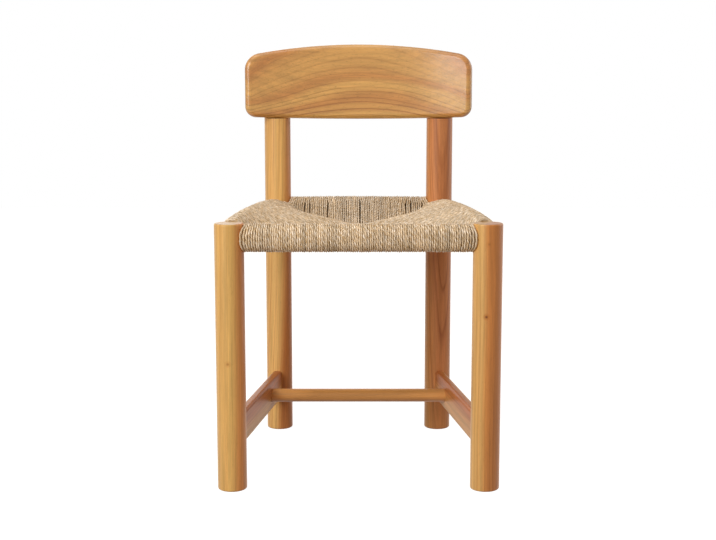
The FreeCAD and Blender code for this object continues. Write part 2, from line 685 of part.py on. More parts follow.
pieces = make_chair()
check(pieces)
os.makedirs("parts", exist_ok=True)
for piece in pieces:
    piece.Shape.exportStep(f"parts/{piece.Label}.step")
    box = piece.Shape.BoundBox
    print(f"{piece.Label}: {len(piece.Shape.Solids)} solid, {piece.Shape.Volume / 1000:.1f} cm3, "
          f"z {box.ZMin:.1f} to {box.ZMax:.1f}")
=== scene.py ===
import bpy
import math
import numpy as np
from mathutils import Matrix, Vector


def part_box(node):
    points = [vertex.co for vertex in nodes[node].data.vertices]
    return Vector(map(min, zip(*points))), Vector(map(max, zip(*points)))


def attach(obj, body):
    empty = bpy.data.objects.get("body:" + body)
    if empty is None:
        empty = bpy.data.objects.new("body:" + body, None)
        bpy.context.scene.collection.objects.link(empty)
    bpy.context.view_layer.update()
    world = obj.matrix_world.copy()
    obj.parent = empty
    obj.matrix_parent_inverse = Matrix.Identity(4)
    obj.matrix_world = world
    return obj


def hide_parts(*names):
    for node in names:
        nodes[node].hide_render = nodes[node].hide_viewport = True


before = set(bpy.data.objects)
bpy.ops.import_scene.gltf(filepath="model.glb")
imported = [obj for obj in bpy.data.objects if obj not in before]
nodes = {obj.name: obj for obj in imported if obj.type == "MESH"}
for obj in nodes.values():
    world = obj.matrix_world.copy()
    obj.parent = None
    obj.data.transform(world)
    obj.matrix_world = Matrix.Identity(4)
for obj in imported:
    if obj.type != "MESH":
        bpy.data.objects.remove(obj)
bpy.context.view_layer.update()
mm = 0.001
print("frame loaded,", len(nodes), "nodes")

# places read from the frame
frontLow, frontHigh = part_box("front_leg_left")
rearLow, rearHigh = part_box("rear_leg_left")
railLow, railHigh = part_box("front_seat_rail")
legRadius = (frontHigh.x - frontLow.x) / 2
frontX = -(frontLow.x + frontHigh.x) / 2
rearX = -(rearLow.x + rearHigh.x) / 2
legY = (rearLow.y + rearHigh.y) / 2
railHalf = (railHigh.y - railLow.y) / 2
railTall = (railHigh.z - railLow.z) / 2
railMiddle = (railLow.z + railHigh.z) / 2
legTop = frontHigh.z
sideSlope = (frontX - rearX) / (2 * legY)


# nodes and materials

def linear(colour):
    # sRGB hex to linear red, green, blue and alpha
    parts = [int(colour[k:k + 2], 16) / 255 for k in (1, 3, 5)]
    return [c / 12.92 if c <= 0.04045 else ((c + 0.055) / 1.055) ** 2.4 for c in parts] + [1]


def add(tree, kind, settings=None, inputs=None):
    # one node: settings are its own properties, inputs are values or the sockets that feed it
    made = tree.nodes.new("ShaderNode" + kind)
    for name, value in (settings or {}).items():
        if name == "stops":
            ramp = made.color_ramp.elements
            for place, colour in value[1:-1]:
                ramp.new(place)
            for element, (place, colour) in zip(ramp, value):
                element.position = place
                element.color = linear(colour)
        else:
            setattr(made, name, value)
    for name, value in (inputs or {}).items():
        if isinstance(value, bpy.types.Node):
            value = value.outputs[0]
        if isinstance(value, bpy.types.NodeSocket):
            tree.links.new(value, made.inputs[name])
        else:
            made.inputs[name].default_value = value
    return made


def newMaterial(name, **sockets):
    # a Principled surface with its plain values set on the shader
    material = bpy.data.materials.new(name)
    material.use_nodes = True
    tree = material.node_tree
    tree.nodes.clear()
    plain = {key.replace("_", " "): value for key, value in sockets.items()}
    surface = add(tree, "BsdfPrincipled", inputs=plain)
    add(tree, "OutputMaterial", inputs={"Surface": surface})
    return material, tree, surface


def paint(node, material):
    # a CAD node keeps its mesh and takes the material in all its slots
    for slot in nodes[node].material_slots:
        slot.material = material


# pine timber: each piece has its own board, where along is the way the trunk grew, pith the middle of its rings,
# edge the radius of the redder heartwood and calm the radius inside which the rings hardly show

pine = dict(
    ring=6 * mm,             # one year's growth
    unevenRings=1.1,         # how far a year may differ, in rings
    wander=9 * mm,           # slow bend of the rings
    wanderLength=80 * mm,
    stretch=0.12,            # patterns run about eight times longer along the trunk
    fibreStretch=0.03,       # fibres and streaks longer still
    canalStretch=0.1,
    streak=7 * mm,           # lighter and darker bands along the grain
    streakTone=(0.86, 1.12),   # darkest and lightest, as a share of the colour
    fibre=1.5 * mm,          # real fibres are ten times finer, this is as coarse as shows
    fibreTone=(0.87, 1.11),
    fibreDepth=0.2 * mm,
    canal=1.0 * mm,          # short dark resin canals
    patch=60 * mm,           # stretches where the rings fade
    heartSoft=9 * mm,        # half width of the change from heartwood to sapwood
    calmSoft=30 * mm,        # and of the change from calm to clear rings
    spell=26 * mm,           # runs of yellower or redder years
    spellDrift=60 * mm,      # how far such a run wanders along the trunk
    knot=((7 * mm, "#b9722f"), (3 * mm, "#5f3218")),   # radius and colour of its halo and its core
    ripple=11 * mm,          # slow unevenness left by the planer, which mottles the sheen
    rippleDepth=0.25 * mm,
    endGrain=0.72,           # cut ends drink more finish and are this much darker
)


def pineTimber(name, light, dark, heart, along, pith, edge=0.0, calm=0.0, ring=1.0, lines=0.05, broad=0.5,
               canals=0.12, gloss=0.4, rough=0.36, knots=(), lacquer=True):
    # plain-sawn pine: broad amber early wood, browner late-wood bands, redder heartwood near the pith, fine
    # fibres and dark dashes along the grain, small knots, darker cut ends, and a soft sheen under satin lacquer
    finish = dict(Roughness=rough, Specular_IOR_Level=gloss) if lacquer else dict(Roughness=0.75)
    material, tree, surface = newMaterial(name, IOR=1.5, **finish)
    turn = Vector(along).rotation_difference(Vector((0, 0, 1)))
    place = add(tree, "TexCoord")
    grain = add(tree, "Mapping", inputs={"Vector": place.outputs["Object"], "Rotation": turn.to_euler(),
                                         "Location": -(turn @ Vector(pith))})
    drawn = add(tree, "VectorMath", {"operation": "MULTIPLY"}, {0: grain, 1: (1, 1, pine["stretch"])})
    bend = add(tree, "TexNoise", inputs={"Vector": drawn, "Scale": 1 / pine["wanderLength"], "Detail": 2.0})
    centred = add(tree, "VectorMath", {"operation": "SUBTRACT"}, {0: bend.outputs["Color"], 1: (0.5, 0.5, 0.5)})
    moved = add(tree, "VectorMath", {"operation": "MULTIPLY_ADD"},
                {0: centred, 1: (2 * pine["wander"], 2 * pine["wander"], 0), 2: grain})
    flat = add(tree, "VectorMath", {"operation": "MULTIPLY"}, {0: moved, 1: (1, 1, 0)})
    radius = add(tree, "VectorMath", {"operation": "LENGTH"}, {0: flat}).outputs["Value"]
    years = add(tree, "Math", {"operation": "DIVIDE"}, {0: radius, 1: pine["ring"] * ring})
    uneven = add(tree, "TexNoise", {"noise_dimensions": "1D"}, {"W": years, "Scale": 0.45, "Detail": 1.0})
    year = add(tree, "Math", {"operation": "MULTIPLY_ADD"}, {0: uneven, 1: 2 * pine["unevenRings"], 2: years})
    season = add(tree, "Math", {"operation": "FRACT"}, {0: year})
    # a year is pale early wood that darkens slowly, a thin dark line, and a quick fall back to pale
    late = add(tree, "ValToRGB", {"stops": [(0.0, "#8a8a8a"), (0.14, "#000000"), (0.5, "#222222"),
                                            (0.76, "#5a5a5a"), (0.91, "#ffffff"), (1.0, "#8a8a8a")]}, {0: season})
    fade = add(tree, "TexNoise", inputs={"Vector": drawn, "Scale": 1 / pine["patch"], "Detail": 2.0})
    strength = add(tree, "MapRange", inputs={"Value": fade, 1: 0.32, 2: 0.68, 3: lines, 4: 0.9})
    clear = add(tree, "MapRange", inputs={"Value": radius, 1: calm - pine["calmSoft"], 2: calm + pine["calmSoft"],
                                          3: 0.3, 4: 1.0})
    contrast = add(tree, "Math", {"operation": "MULTIPLY"}, {0: strength, 1: clear})
    shade = add(tree, "Math", {"operation": "MULTIPLY"}, {0: late, 1: contrast})
    inner = add(tree, "MapRange", {"interpolation_type": "SMOOTHSTEP"},
                {"Value": radius, 1: edge - pine["heartSoft"], 2: edge + pine["heartSoft"], 3: 1.0, 4: 0.0})
    # runs of redder years, which follow the rings loosely
    slow = add(tree, "VectorMath", {"operation": "MULTIPLY"}, {0: drawn, 1: (0.5, 0.5, 0.5)})
    drift = add(tree, "TexNoise", inputs={"Vector": slow, "Scale": 1 / pine["wanderLength"]})
    loosely = add(tree, "Math", {"operation": "MULTIPLY_ADD"}, {0: drift, 1: pine["spellDrift"], 2: radius})
    spell = add(tree, "TexNoise", {"noise_dimensions": "1D"},
                {"W": loosely, "Scale": 1 / pine["spell"], "Detail": 1.0})
    redder = add(tree, "MapRange", inputs={"Value": spell, 1: 0.42, 2: 0.62, 3: 0.0, 4: broad})
    both = add(tree, "Math", {"operation": "MAXIMUM"}, {0: inner, 1: redder})
    early = add(tree, "Mix", {"data_type": "RGBA"}, {0: both, 6: linear(light), 7: linear(heart)})
    wood = add(tree, "Mix", {"data_type": "RGBA"}, {0: shade, 6: early.outputs[2], 7: linear(dark)}).outputs[2]
    for spot, depth in knots:
        away = add(tree, "VectorMath", {"operation": "DISTANCE"}, {0: place.outputs["Object"], 1: spot})
        for wide, colour in pine["knot"]:
            ringed = add(tree, "MapRange", inputs={"Value": away.outputs["Value"], 1: 0.25 * wide, 2: wide,
                                                   3: depth, 4: 0.0})
            wood = add(tree, "Mix", {"data_type": "RGBA"}, {0: ringed, 6: wood, 7: linear(colour)}).outputs[2]
    # fibres and resin canals
    thin = add(tree, "VectorMath", {"operation": "MULTIPLY"}, {0: moved, 1: (1, 1, pine["fibreStretch"])})
    fibre = add(tree, "TexNoise", inputs={"Vector": thin, "Scale": 1 / pine["fibre"], "Detail": 3.0,
                                          "Roughness": 0.6})
    tone = add(tree, "MapRange", inputs={"Value": fibre, 1: 0.25, 2: 0.75, 3: pine["fibreTone"][0],
                                         4: pine["fibreTone"][1]})
    short = add(tree, "VectorMath", {"operation": "MULTIPLY"}, {0: moved, 1: (1, 1, pine["canalStretch"])})
    canal = add(tree, "TexNoise", inputs={"Vector": short, "Scale": 1 / pine["canal"], "Detail": 1.0})
    dash = add(tree, "MapRange", inputs={"Value": canal, 1: 0.63, 2: 0.73, 3: 1.0, 4: 1 - canals})
    band = add(tree, "TexNoise", inputs={"Vector": thin, "Scale": 1 / pine["streak"], "Detail": 2.0})
    streak = add(tree, "MapRange", inputs={"Value": band, 1: 0.3, 2: 0.7, 3: pine["streakTone"][0],
                                           4: pine["streakTone"][1]})
    marks = add(tree, "Math", {"operation": "MULTIPLY"}, {0: tone, 1: dash})
    grown = add(tree, "Math", {"operation": "MULTIPLY"}, {0: marks, 1: streak})
    # cut ends, where the surface faces along the trunk
    facing = add(tree, "VectorMath", {"operation": "DOT_PRODUCT"},
                 {0: place.outputs["Normal"], 1: Vector(along).normalized()})
    cut = add(tree, "Math", {"operation": "ABSOLUTE"}, {0: facing.outputs["Value"]})
    ends = add(tree, "MapRange", inputs={"Value": cut, 1: 0.6, 2: 0.95, 3: 1.0, 4: pine["endGrain"]})
    fine = add(tree, "Math", {"operation": "MULTIPLY"}, {0: grown, 1: ends})
    final = add(tree, "VectorMath", {"operation": "SCALE"}, {0: wood, "Scale": fine.outputs[0]})
    # relief: the slow unevenness first, then the fibres on it
    swell = add(tree, "TexNoise", inputs={"Vector": grain, "Scale": 1 / pine["ripple"], "Detail": 1.0})
    planed = add(tree, "Bump", inputs={"Height": swell, "Strength": 0.5, "Distance": pine["rippleDepth"]})
    relief = add(tree, "Bump", inputs={"Height": fibre, "Strength": 0.12 if lacquer else 0.4,
                                       "Distance": pine["fibreDepth"], "Normal": planed})
    tree.links.new(final.outputs[0], surface.inputs["Base Color"])
    tree.links.new(relief.outputs[0], surface.inputs["Normal"])
    return material


def sidewise(side):
    # the way that a left or right side piece runs, front to back
    return (-side * sideSlope, 1, 0)


timbers = dict(
    front_leg_left=dict(
        light="#d9b268", dark="#bd8a48", heart="#da9552",
        along=(0.01, 0.01, 1), pith=(-frontX + 0.075, -legY - 0.02, 0),
        edge=0.069, ring=1.3, broad=0.25, knots=[((-frontX - 0.003, -legY - 0.0248, 0.223), 0.35)]),
    front_leg_right=dict(
        light="#e2b76e", dark="#ab6c33", heart="#cb8747",
        along=(-0.012, 0, 1), pith=(frontX + 0.075, -legY - 0.03, 0),
        edge=0.08, ring=1.2, broad=0.25,
        knots=[((frontX - 0.003, -legY - 0.0248, 0.304), 0.85), ((frontX, -legY - 0.025, 0.4265), 0.25)]),
    rear_leg_left=dict(
        light="#e9be76", dark="#ad6e38", heart="#c27e46",
        along=(0.032, 0.01, 1), pith=(-rearX + 0.0615, legY - 0.03, 0),
        edge=0.064, ring=1.2, broad=0.25, gloss=0.25),
    rear_leg_right=dict(   # a board that is redder outside than inside; the redder, darker colour of its outer, front faces is partly painted shade, for the shade under the seat
        light="#cb8856", dark="#8e502e", heart="#ca9354",
        along=(-0.012, 0.028, 1), pith=(0.145, 0.262, 0), edge=0.085,
        gloss=0.25),
    # the side stretchers' redder, darker colours are partly their own heartwood and partly painted shade, for the
    # shade under the seat
    left_side_stretcher=dict(
        light="#d0a062", dark="#98572f", heart="#b57243",
        along=sidewise(-1), pith=(-0.1, 0, 0.15), edge=0.097, gloss=0.1),
    right_side_stretcher=dict(
        light="#d6a262", dark="#96522b", heart="#bd733e",
        along=sidewise(1), pith=(0.1, 0, 0.16), edge=0.1, gloss=0.1),
    cross_stretcher=dict(
        light="#dba05c", dark="#a86a3a", heart="#c88548",
        along=(1, 0.01, 0.01), pith=(0, 0.02, 0.123), edge=0.03),
    backrest=dict(
        light="#d9aa60", dark="#884a1d", heart="#bb7a3e",
        along=(1, 0, 0), pith=(0, -0.03, 0.83), edge=0.1, calm=0.268,
        lines=0.65, broad=0.75, canals=0.32, gloss=0.6, rough=0.23),
    backrest_plugs=dict(
        light="#cc9450", dark="#a06234", heart="#b87a42",
        along=(0.1, 0, 1), pith=(0.1, 0.3, 0)),
)
for name, timber in timbers.items():
    paint(name, pineTimber("lacquered_pine_" + name, **timber))
for name, along in (("front", (1, 0, 0)), ("rear", (1, 0, 0)), ("left", sidewise(-1)), ("right", sidewise(1))):
    bare = dict(light="#e3c797", dark="#c79f68", heart="#d8b683", along=along, pith=(0.1, 0.1, 0.3))
    paint(name + "_seat_rail", pineTimber("bare_pine_" + name, **bare, lacquer=False))
print("pine set on", len(timbers) + 4, "pieces")


# packing card and screw steel, both hidden inside

def shadedPackingCard():
    # brown folded card, its colour darkened as painted shade so the gaps between the strands show dark: matt,
    # with darker pulp flecks about 2 mm across
    material, tree, surface = newMaterial("packing_card", Roughness=0.9)
    place = add(tree, "TexCoord")
    fleck = add(tree, "TexNoise", inputs={"Vector": place.outputs["Object"], "Scale": 1 / (2 * mm),
                                          "Detail": 4.0})
    pulp = add(tree, "ValToRGB", {"stops": [(0.3, "#5f4d36"), (0.7, "#7a654b")]}, {0: fleck})
    tree.links.new(pulp.outputs[0], surface.inputs["Base Color"])
    return material


def platedSteel():
    # zinc-plated steel: bright grey, with fine marks in its colour and roughness
    material, tree, surface = newMaterial("plated_steel", Metallic=1.0)
    place = add(tree, "TexCoord")
    marks = add(tree, "TexNoise", inputs={"Vector": place.outputs["Object"], "Scale": 1 / (0.5 * mm)})
    colour = add(tree, "ValToRGB", {"stops": [(0.3, "#9fa2a3"), (0.7, "#b9bcbd")]}, {0: marks})
    rough = add(tree, "MapRange", inputs={"Value": marks, 3: 0.25, 4: 0.45})
    tree.links.new(colour.outputs[0], surface.inputs["Base Color"])
    tree.links.new(rough.outputs[0], surface.inputs["Roughness"])
    return material


card = shadedPackingCard()
for name in ("front", "rear", "left", "right"):
    paint(name + "_packing", card)
paint("backrest_screws", platedSteel())


# rush cord and the woven seat

rush = dict(
    cord=4.2 * mm,
    pitch=3.65 * mm,         # from strand to strand: they lie squeezed together
    lay=24 * mm,             # one full turn of the two plies
    lobe=0.12,               # how far the plies stand out of a plain round
    grooveTone=(0.74, 1.03),   # painted shade in the groove between them, darkest, and painted highlight on them, lightest
    lotTone=(0.85, 1.22),    # of the darkest and the palest strand
    blotch=28 * mm,          # patches of darker and paler rush
    blotchTone=(0.9, 1.08),
    fibreAlong=0.11,         # leaf fibres: changes in a millimetre along the strand
    fibreRound=4.0,          # and across one ply
    fibreDepth=0.4 * mm,
    sides=8,                 # of a strand's section
    step=2.6 * mm,           # ring spacing where the weave shows most
    underStep=4.6 * mm,
    railRound=12 * mm,       # rounded edges of the rail inside
    sideFront=legTop - 21.5 * mm,    # middle line of a side rail: front end, rear end and rise between
    sideRear=legTop - 27 * mm,
    sideCrown=6.5 * mm,
    padRun=24 * mm,          # how near a leg the packing of a side panel begins to thin out
    padCrown=0.2,            # share by which that of the rear panel is thinner at the legs
    rollTight=0.75,          # share of the gaps between strands that closes on the roll
    low=legTop - 33 * mm,    # top of the weave in the middle of the seat
    corner=legTop - 7 * mm,  # and where a seam meets its leg
    under=legTop - 48 * mm,  # underside of the weave
    dishRun=25 * mm,         # length over which a seam drops from its leg
    ridge=20 * mm,           # middle stretch where the left and right panels meet
    ridgeGap=0.42 * mm,      # and the gap between them
    lap=1.2 * mm,            # side strands lap over the front and rear ones at the seams
    tuck=3 * mm,             # radius of their turn down into the seam
    dive=((2.5, 4.2), (0.5, 2.4), (-2.5, 1.2), (-6, 0.4)),   # millimetres past a seam and below, for the others
    wobble=0.2 * mm,         # a strand sways from side to side, in a long and a short wave
    swayLengths=(23 * mm, 9 * mm),
    uneven=0.16 * mm,        # strands lie a little higher or lower
    unevenThick=0.035,       # and are thicker or thinner
    unevenTone=0.28,         # or paler or darker
    gapShare=0.12,           # share of loose strands that leave a gap
    hugRun=16 * mm,          # strands this near a leg bend round it
    bulge=3.5 * mm,          # the roll's outer face bows out over its packing
    loose=110,               # fibres that stand off a panel
    fibreLength=(5 * mm, 13 * mm),
    fibreThick=0.16 * mm,
    fibreCurl=(0.3, 2.2),    # millimetres that its end stands off
    fibreDrift=0.25,         # sideways share of its length
    fibreTone=0.9,
    seed=21,
)
# for each panel: how far packing lifts the strands on the roll, how unevenly they lie, how wide the gaps between
# loose ones are, their thickness as a share of the cord, and how pale the lot of rush is from 0 to 1
panels = dict(
    front=dict(pad=0.0, drift=0.06 * mm, gap=0.0, full=0.98, tone=0.6),
    # the rear panel's darker lot is partly painted shade, for the shade of the backrest over it
    rear=dict(pad=4.4 * mm, drift=0.16 * mm, gap=2.2 * mm, full=0.84, tone=0.38),
    left=dict(pad=2.4 * mm, drift=0.12 * mm, gap=0.0, full=0.97, tone=0.5),
    right=dict(pad=2.4 * mm, drift=0.12 * mm, gap=0.0, full=0.97, tone=0.36),
)
seamSlope = (2 * legY - rush["ridge"]) / (frontX + rearX)
sideStretch = math.hypot(1, sideSlope)
squeeze = rush["pitch"] / rush["cord"]
angles = np.linspace(-math.pi, math.pi, rush["sides"], endpoint=False)
draws = np.random.default_rng(rush["seed"])


def rushCord():
    # dried rush twisted in two plies: pale straw, fibres along the twist, painted shade in the groove between the
    # plies and painted highlight on them, each strand a little different, with a faint dry gloss
    material, tree, surface = newMaterial("twisted_rush", Roughness=0.5, IOR=1.5, Specular_IOR_Level=0.4)
    place = add(tree, "TexCoord")
    onCord = add(tree, "SeparateXYZ", inputs={0: place.outputs["UV"]})
    length, angle = onCord.outputs[0], onCord.outputs[1]   # millimetres along and turns round
    turns = add(tree, "Math", {"operation": "MULTIPLY"}, {0: length, 1: -2 * mm / rush["lay"]})
    ply = add(tree, "Math", {"operation": "MULTIPLY_ADD"}, {0: angle, 1: 2.0, 2: turns})
    wave = add(tree, "Math", {"operation": "MULTIPLY"}, {0: ply, 1: 2 * math.pi})
    crest = add(tree, "Math", {"operation": "COSINE"}, {0: wave})
    strand = add(tree, "Attribute", {"attribute_name": "tone"})
    along = add(tree, "Math", {"operation": "MULTIPLY"}, {0: length, 1: rush["fibreAlong"]})
    across = add(tree, "Math", {"operation": "MULTIPLY"}, {0: ply, 1: rush["fibreRound"]})
    # each strand's tone also picks its own place in the noise
    apart = add(tree, "Math", {"operation": "MULTIPLY"}, {0: strand.outputs["Fac"], 1: 97.0})
    spot = add(tree, "CombineXYZ", inputs={0: along, 1: across, 2: apart})
    fibre = add(tree, "TexNoise", inputs={"Vector": spot, "Scale": 1.0, "Detail": 3.0, "Roughness": 0.65})
    straw = add(tree, "ValToRGB", {"stops": [(0.24, "#7a5c36"), (0.42, "#c6aa7d"), (0.58, "#efe1ca"),
                                             (0.76, "#fffdfa")]}, {0: fibre})
    # painted shade and highlight: the colour darkens in the grooves between the plies and lightens on their
    # crests
    groove = add(tree, "MapRange", inputs={"Value": crest, 1: -1.0, 2: 0.6, 3: rush["grooveTone"][0],
                                           4: rush["grooveTone"][1]})
    blotch = add(tree, "TexNoise", inputs={"Vector": place.outputs["Object"], "Scale": 1 / rush["blotch"],
                                           "Detail": 2.0})
    patch = add(tree, "MapRange", inputs={"Value": blotch, 1: 0.3, 2: 0.7, 3: rush["blotchTone"][0],
                                          4: rush["blotchTone"][1]})
    lot = add(tree, "MapRange", inputs={"Value": strand.outputs["Fac"], 3: rush["lotTone"][0],
                                        4: rush["lotTone"][1]})
    first = add(tree, "Math", {"operation": "MULTIPLY"}, {0: groove, 1: patch})
    second = add(tree, "Math", {"operation": "MULTIPLY"}, {0: first, 1: lot})
    final = add(tree, "VectorMath", {"operation": "SCALE"}, {0: straw, "Scale": second.outputs[0]})
    relief = add(tree, "Bump", inputs={"Height": fibre, "Strength": 0.5, "Distance": rush["fibreDepth"]})
    tree.links.new(final.outputs[0], surface.inputs["Base Color"])
    tree.links.new(relief.outputs[0], surface.inputs["Normal"])
    return material


def seamHeight(across):
    # top of the weave along a seam: it falls off exponentially from the leg to the dished middle
    return rush["low"] + (rush["corner"] - rush["low"]) * np.exp((legRadius - across) / rush["dishRun"])


def strandSection(seam, top, middle, pad, over):
    # a strand in its upright plane, as (u, z) with u from the rail's middle towards the seat's middle:
    # from the seam straight to the roll, round the rounded rail, and straight back below to the seam
    thick = rush["cord"] / 2
    half, tall, bend = railHalf + thick, railTall + thick, rush["railRound"] + thick
    hubU, hubZ = half - bend, tall - bend
    highHub = hubZ + pad
    top, low = top - thick, rush["under"] + thick
    across, up = seam - hubU, top - middle - highHub
    leave = math.atan2(up, across) + math.acos(min(1, bend / math.hypot(across, up)))

    def arc(u, z, first, last, radius=bend):
        turn = np.linspace(first, last, 9)
        return np.c_[u + radius * np.cos(turn), z + radius * np.sin(turn)]

    quarter = math.pi / 2
    if over:
        tuck, end = rush["tuck"], seam + rush["lap"]
        start = np.r_[[(end, top - 2.5 * tuck)], arc(end - tuck, top - tuck, 0, quarter, tuck)]
        finish = np.r_[arc(end - tuck, low + tuck, -quarter, 0, tuck), [(end, low + 2.5 * tuck)]]
    else:
        dive = np.array(rush["dive"]) * mm
        start = np.c_[seam + dive[:, 0], top - dive[:, 1]]
        finish = np.c_[seam + dive[::-1, 0], low + dive[::-1, 1]]
    face = np.linspace(highHub, -hubZ, 7)[1:-1]
    roll = np.r_[arc(hubU, middle + highHub, leave, quarter), arc(-hubU, middle + highHub, quarter, 2 * quarter),
                 np.c_[np.full(len(face), -half), middle + face],
                 arc(-hubU, middle - hubZ, 2 * quarter, 3 * quarter)]
    bow = np.clip(1 - ((roll[:, 1] - middle) / tall) ** 2, 0, 1) * (roll[:, 0] < 0)
    roll[:, 0] -= rush["bulge"] * bow
    points = np.r_[start, roll, [(hubU, middle - tall)], finish]
    # even stations along it, closer together where they show
    length = np.r_[0, np.cumsum(np.hypot(*np.diff(points, axis=0).T))]
    turnedUnder = length[len(start) + len(roll) - 1]
    shown = np.linspace(0, turnedUnder, int(turnedUnder / rush["step"]) + 2)
    below = np.linspace(turnedUnder, length[-1], int((length[-1] - turnedUnder) / rush["underStep"]) + 2)
    stations = np.r_[shown, below[1:]]
    path = np.stack([np.interp(stations, length, column) for column in points.T], -1)
    return stations, turnedUnder, path


def hugLegs(u, near):
    # strands beside a leg close round it: in front of and behind its middle they move out by its radius less its
    # half chord there, and exponentially less away from the leg
    reach = legRadius + rush["cord"] / 2
    depth = np.clip(np.abs(u), 0, railHalf + rush["cord"] / 2 + rush["bulge"])
    return (reach - np.sqrt(reach ** 2 - depth ** 2)) * np.exp(-near / rush["hugRun"])


def tubeQuads(rings, sides, flip):
    # quads of a closed tube, ring by ring, with three quads over each end (sides is 8)
    i, j = np.meshgrid(np.arange(rings - 1), np.arange(sides), indexing="ij")
    ahead = (j + 1) % sides
    quads = np.stack([i * sides + j, i * sides + ahead, (i + 1) * sides + ahead, (i + 1) * sides + j], -1)
    columns = np.stack([j, j + 1, j + 1, j], -1) / sides
    quads, columns = quads.reshape(-1, 4), columns.reshape(-1, 4)
    cap = np.array([(0, 1, 2, 3), (0, 3, 4, 7), (4, 5, 6, 7)])
    quads = np.r_[quads, cap[:, ::-1], cap + (rings - 1) * sides]
    columns = np.r_[columns, cap[:, ::-1] / sides, cap / sides]
    return (quads[:, ::-1], columns[:, ::-1]) if flip else (quads, columns)


def looseFibre(stations, turnedUnder, path, out, side, thick, toSpace):
    # a fibre leaves its strand's surface and curls out as the square of its length, thinner towards the end
    first = draws.integers(4, np.searchsorted(stations, turnedUnder) - 8)
    share = np.linspace(0, 1, 7)
    along = share * draws.uniform(*rush["fibreLength"])
    drift = draws.normal(0, rush["fibreDrift"])
    at = stations[first] + along
    u, z, w, outU, outZ = (np.interp(at, stations, column)[:, None]
                           for column in (path[:, 0], path[:, 1], side, out[:, 0], out[:, 1]))
    rise = thick + share ** 2 * draws.uniform(*rush["fibreCurl"]) * mm
    taper = rush["fibreThick"] * (1 - 0.6 * share[:, None])
    reach = rise[:, None] + taper * np.cos(angles)
    across = drift * along[:, None] + taper * np.sin(angles)
    return toSpace(u + reach * outU, z + reach * outZ, w + across), along, rush["fibreTone"]


def tubesToPiece(name, tubes, flip):
    # closed tubes, each (points, length along, tone), joined in one mesh with its UV and tone
    points, quads, uvs, tones, count = [], [], [], [], 0
    for place, along, tone in tubes:
        points.append(np.stack(place, -1).reshape(-1, 3))
        corner, column = tubeQuads(len(along), rush["sides"], flip)
        quads.append(corner + count)
        uvs.append(np.stack([(along / mm)[corner // rush["sides"]], column], -1))
        tones.append(np.full(len(points[-1]), tone))
        count += len(points[-1])
    points, quads, uvs, tones = (np.concatenate(part) for part in (points, quads, uvs, tones))

    mesh = bpy.data.meshes.new(name)
    mesh.vertices.add(count)
    mesh.vertices.foreach_set("co", points.astype(np.float32).ravel())
    mesh.loops.add(quads.size)
    mesh.loops.foreach_set("vertex_index", quads.astype(np.int32).ravel())
    mesh.polygons.add(len(quads))
    mesh.polygons.foreach_set("loop_start", np.arange(0, quads.size, 4, dtype=np.int32))
    mesh.polygons.foreach_set("use_smooth", np.ones(len(quads), bool))
    mesh.update(calc_edges=True)
    layer = mesh.uv_layers.new(name="alongAndRound")
    layer.data.foreach_set("uv", uvs.astype(np.float32).ravel())
    mesh.attributes.new("tone", "FLOAT", "POINT").data.foreach_set("value", tones.astype(np.float32))
    piece = bpy.data.objects.new(name, mesh)
    bpy.context.scene.collection.objects.link(piece)
    print(name, 2 * len(quads), "triangles")
    return piece


def looseness(count, wide, gap):
    # unevenness of the spacing: a running sum of small random steps and a few gaps, less the straight line
    # between its ends
    drift = np.cumsum(draws.normal(0, wide, count) + gap * (draws.random(count) < rush["gapShare"]))
    return drift - np.linspace(drift[0], drift[-1], count)


def strandPlaces(gap):
    # strands side by side between two legs that are gap apart, measured from the middle
    room = gap - 2 * legRadius - rush["cord"]
    return np.linspace(-room / 2, room / 2, int(room / rush["pitch"]) + 1)


def weave(name, panel, places, seams, tops, middles, pads, toSpace, nearLeg, over, flip):
    # one panel: every strand is a two-lobed tube r(angle, s) = r0 (1 + lobe cos(2 angle - 4 pi s / lay)),
    # carried along its section and set beside its neighbour, with loose fibres shared out evenly
    tubes, spare, full = [], 0.0, panel["full"]
    gaps = looseness(len(places), panel["drift"], panel["gap"])
    longWave, shortWave = rush["swayLengths"]
    for k, place in enumerate(places):
        stations, turnedUnder, path = strandSection(seams[k], tops[k], middles[k], pads[k], over)
        along = np.gradient(path, axis=0)
        along /= np.linalg.norm(along, axis=1)[:, None]
        out = np.c_[along[:, 1], -along[:, 0]]
        phase, slow, quick = draws.uniform(0, 2 * math.pi, 3)
        onRoll = np.clip(2 - path[:, 0] / railHalf, 0, 1)   # 1 over the rail, 0 from a rail's width inside it
        thick = rush["cord"] / 2 * (full + (1 - full) * onRoll + rush["unevenThick"] * draws.normal())
        lift = rush["uneven"] * draws.normal()
        sway = rush["wobble"] * (np.sin(stations / longWave + slow) + 0.5 * np.sin(stations / shortWave + quick))
        gap = gaps[k] * (1 - rush["rollTight"] * onRoll)
        side = place + sway + gap + np.sign(place) * hugLegs(path[:, 0], nearLeg[k])
        twist = 4 * math.pi * stations[:, None] / rush["lay"]
        radius = thick[:, None] * (1 + rush["lobe"] * np.cos(2 * angles - twist + phase))
        reach = lift + radius * np.cos(angles)
        spot = toSpace(path[:, :1] + reach * out[:, :1], path[:, 1:] + reach * out[:, 1:],
                       side[:, None] + squeeze * radius * np.sin(angles))
        tone = np.clip(panel["tone"] + rush["unevenTone"] * draws.normal(), 0, 1)
        tubes.append((spot, stations - phase * rush["lay"] / (4 * math.pi), tone))
        spare += rush["loose"] / len(places)
        while spare >= 1:
            spare -= 1
            tubes.append(looseFibre(stations, turnedUnder, path, out, side, thick.max(), toSpace))
    return tubesToPiece(name, tubes, flip)


